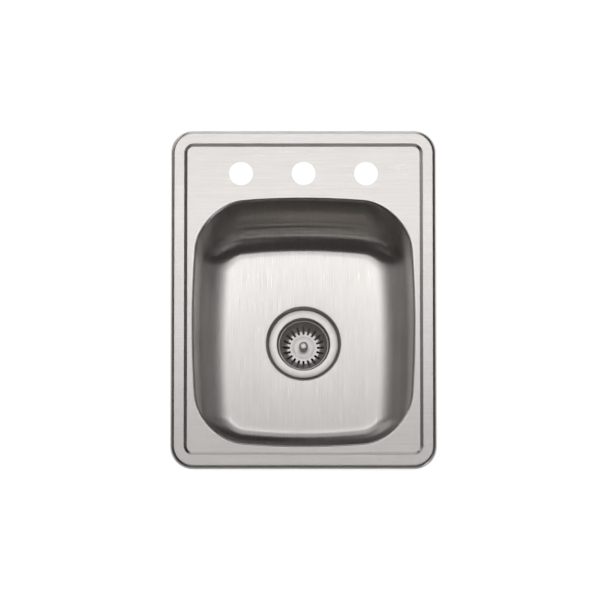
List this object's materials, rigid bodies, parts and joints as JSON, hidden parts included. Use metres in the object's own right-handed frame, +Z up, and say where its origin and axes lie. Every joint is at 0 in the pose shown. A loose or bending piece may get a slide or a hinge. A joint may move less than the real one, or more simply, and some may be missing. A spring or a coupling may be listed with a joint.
{
  "type": "drop-in sink",
  "caption": "Rectangular drop-in stainless bar sink: stepped rim, faucet deck with holes, rounded bowl, lift-out basket strainer, tailpiece and clips on underside rails.",
  "frame": {"origin": "centre of the rim's outline on the countertop plane, which the rim's edge rests on", "axes": "+X across the width to the right, +Y to the faucet side, +Z up"},
  "size_m": [0.4318, 0.5588, 0.3759],
  "materials": {
    "brushed_stainless": "satin brushed stainless steel",
    "polished_stainless": "bright, finely turned stainless steel",
    "zinc_plated_steel": "dull zinc plated steel",
    "chromed_metal": "chrome plated",
    "black_rubber": "matte moulded rubber",
    "grey_fibre": "pressed grey fibre",
    "white_nylon": "moulded nylon",
    "grey_sound_pad": "matte damping pad"
  },
  "bodies": {
    "sink": {"sink_shell": "brushed_stainless", "sound_pad_front": "grey_sound_pad", "sound_pad_back": "grey_sound_pad", "mounting_rail_front": "zinc_plated_steel", "mounting_rail_back": "zinc_plated_steel", "mounting_rail_left": "zinc_plated_steel", "mounting_rail_right": "zinc_plated_steel", "strainer_body": "polished_stainless", "crossbar": "polished_stainless", "flange_seal": "black_rubber", "rubber_gasket": "black_rubber", "friction_washer": "grey_fibre", "locknut": "chromed_metal", "tailpiece_washer": "white_nylon", "tailpiece": "chromed_metal", "coupling_nut": "chromed_metal"},
    "basket": {"basket_cup": "polished_stainless", "basket_knob": "polished_stainless", "basket_post": "polished_stainless", "stopper": "black_rubber", "stopper_washer": "polished_stainless", "post_nut": "polished_stainless"},
    "clip_bolt_right_1": {"clip_bolt_right_1": "zinc_plated_steel"},
    "clip_washer_right_1": {"clip_washer_right_1": "zinc_plated_steel"},
    "clip_claw_right_1": {"clip_claw_right_1": "zinc_plated_steel"},
    "clip_nut_right_1": {"clip_nut_right_1": "zinc_plated_steel"},
    "clip_bolt_right_2": {"clip_bolt_right_2": "zinc_plated_steel"},
    "clip_washer_right_2": {"clip_washer_right_2": "zinc_plated_steel"},
    "clip_claw_right_2": {"clip_claw_right_2": "zinc_plated_steel"},
    "clip_nut_right_2": {"clip_nut_right_2": "zinc_plated_steel"},
    "clip_bolt_back": {"clip_bolt_back": "zinc_plated_steel"},
    "clip_washer_back": {"clip_washer_back": "zinc_plated_steel"},
    "clip_claw_back": {"clip_claw_back": "zinc_plated_steel"},
    "clip_nut_back": {"clip_nut_back": "zinc_plated_steel"},
    "clip_bolt_left_1": {"clip_bolt_left_1": "zinc_plated_steel"},
    "clip_washer_left_1": {"clip_washer_left_1": "zinc_plated_steel"},
    "clip_claw_left_1": {"clip_claw_left_1": "zinc_plated_steel"},
    "clip_nut_left_1": {"clip_nut_left_1": "zinc_plated_steel"},
    "clip_bolt_left_2": {"clip_bolt_left_2": "zinc_plated_steel"},
    "clip_washer_left_2": {"clip_washer_left_2": "zinc_plated_steel"},
    "clip_claw_left_2": {"clip_claw_left_2": "zinc_plated_steel"},
    "clip_nut_left_2": {"clip_nut_left_2": "zinc_plated_steel"},
    "clip_bolt_front": {"clip_bolt_front": "zinc_plated_steel"},
    "clip_washer_front": {"clip_washer_front": "zinc_plated_steel"},
    "clip_claw_front": {"clip_claw_front": "zinc_plated_steel"},
    "clip_nut_front": {"clip_nut_front": "zinc_plated_steel"}
  },
  "joints": [
    {"name": "basket_lift", "type": "slide", "parent": "sink", "child": "basket", "axis": [0, 0, 1], "range_m": [0, 0.22]},
    {"name": "clip_right_1_along_rail", "type": "slide", "parent": "sink", "child": "clip_bolt_right_1", "axis": [0, 1, 0], "range_m": [-0.085, 0.085]},
    {"name": "clip_right_1_raise", "type": "slide", "parent": "clip_bolt_right_1", "child": "clip_washer_right_1", "axis": [0, 0, 1], "range_m": [0, 0.029]},
    {"name": "clip_right_1_nut_turn", "type": "hinge", "parent": "clip_washer_right_1", "child": "clip_nut_right_1", "pos_m": [0.1949, -0.12, -0.05], "axis": [0, 0, 1], "range_deg": [0, 8221]},
    {"name": "clip_right_1_claw_swing", "type": "hinge", "parent": "clip_washer_right_1", "child": "clip_claw_right_1", "pos_m": [0.1949, -0.12, -0.05], "axis": [0, 0, -1], "range_deg": [0, 90]},
    {"name": "clip_right_2_along_rail", "type": "slide", "parent": "sink", "child": "clip_bolt_right_2", "axis": [0, 1, 0], "range_m": [-0.085, 0.085]},
    {"name": "clip_right_2_raise", "type": "slide", "parent": "clip_bolt_right_2", "child": "clip_washer_right_2", "axis": [0, 0, 1], "range_m": [0, 0.029]},
    {"name": "clip_right_2_nut_turn", "type": "hinge", "parent": "clip_washer_right_2", "child": "clip_nut_right_2", "pos_m": [0.1949, 0.12, -0.05], "axis": [0, 0, 1], "range_deg": [0, 8221]},
    {"name": "clip_right_2_claw_swing", "type": "hinge", "parent": "clip_washer_right_2", "child": "clip_claw_right_2", "pos_m": [0.1949, 0.12, -0.05], "axis": [0, 0, -1], "range_deg": [0, 90]},
    {"name": "clip_back_along_rail", "type": "slide", "parent": "sink", "child": "clip_bolt_back", "axis": [1, 0, 0], "range_m": [-0.14, 0.14]},
    {"name": "clip_back_raise", "type": "slide", "parent": "clip_bolt_back", "child": "clip_washer_back", "axis": [0, 0, 1], "range_m": [0, 0.029]},
    {"name": "clip_back_nut_turn", "type": "hinge", "parent": "clip_washer_back", "child": "clip_nut_back", "pos_m": [0, 0.2584, -0.05], "axis": [0, 0, 1], "range_deg": [0, 8221]},
    {"name": "clip_back_claw_swing", "type": "hinge", "parent": "clip_washer_back", "child": "clip_claw_back", "pos_m": [0, 0.2584, -0.05], "axis": [0, 0, -1], "range_deg": [0, 90]},
    {"name": "clip_left_1_along_rail", "type": "slide", "parent": "sink", "child": "clip_bolt_left_1", "axis": [0, 1, 0], "range_m": [-0.085, 0.085]},
    {"name": "clip_left_1_raise", "type": "slide", "parent": "clip_bolt_left_1", "child": "clip_washer_left_1", "axis": [0, 0, 1], "range_m": [0, 0.029]},
    {"name": "clip_left_1_nut_turn", "type": "hinge", "parent": "clip_washer_left_1", "child": "clip_nut_left_1", "pos_m": [-0.1949, 0.12, -0.05], "axis": [0, 0, 1], "range_deg": [0, 8221]},
    {"name": "clip_left_1_claw_swing", "type": "hinge", "parent": "clip_washer_left_1", "child": "clip_claw_left_1", "pos_m": [-0.1949, 0.12, -0.05], "axis": [0, 0, -1], "range_deg": [0, 90]},
    {"name": "clip_left_2_along_rail", "type": "slide", "parent": "sink", "child": "clip_bolt_left_2", "axis": [0, 1, 0], "range_m": [-0.085, 0.085]},
    {"name": "clip_left_2_raise", "type": "slide", "parent": "clip_bolt_left_2", "child": "clip_washer_left_2", "axis": [0, 0, 1], "range_m": [0, 0.029]},
    {"name": "clip_left_2_nut_turn", "type": "hinge", "parent": "clip_washer_left_2", "child": "clip_nut_left_2", "pos_m": [-0.1949, -0.12, -0.05], "axis": [0, 0, 1], "range_deg": [0, 8221]},
    {"name": "clip_left_2_claw_swing", "type": "hinge", "parent": "clip_washer_left_2", "child": "clip_claw_left_2", "pos_m": [-0.1949, -0.12, -0.05], "axis": [0, 0, -1], "range_deg": [0, 90]},
    {"name": "clip_front_along_rail", "type": "slide", "parent": "sink", "child": "clip_bolt_front", "axis": [1, 0, 0], "range_m": [-0.14, 0.14]},
    {"name": "clip_front_raise", "type": "slide", "parent": "clip_bolt_front", "child": "clip_washer_front", "axis": [0, 0, 1], "range_m": [0, 0.029]},
    {"name": "clip_front_nut_turn", "type": "hinge", "parent": "clip_washer_front", "child": "clip_nut_front", "pos_m": [0, -0.2584, -0.05], "axis": [0, 0, 1], "range_deg": [0, 8221]},
    {"name": "clip_front_claw_swing", "type": "hinge", "parent": "clip_washer_front", "child": "clip_claw_front", "pos_m": [0, -0.2584, -0.05], "axis": [0, 0, -1], "range_deg": [0, 90]}
  ],
  "couplings": [
    {"joint": "clip_right_1_nut_turn", "follows": "clip_right_1_raise", "rad_per_m": 4947.4},
    {"joint": "clip_right_2_nut_turn", "follows": "clip_right_2_raise", "rad_per_m": 4947.4},
    {"joint": "clip_back_nut_turn", "follows": "clip_back_raise", "rad_per_m": 4947.4},
    {"joint": "clip_left_1_nut_turn", "follows": "clip_left_1_raise", "rad_per_m": 4947.4},
    {"joint": "clip_left_2_nut_turn", "follows": "clip_left_2_raise", "rad_per_m": 4947.4},
    {"joint": "clip_front_nut_turn", "follows": "clip_front_raise", "rad_per_m": 4947.4}
  ]
}
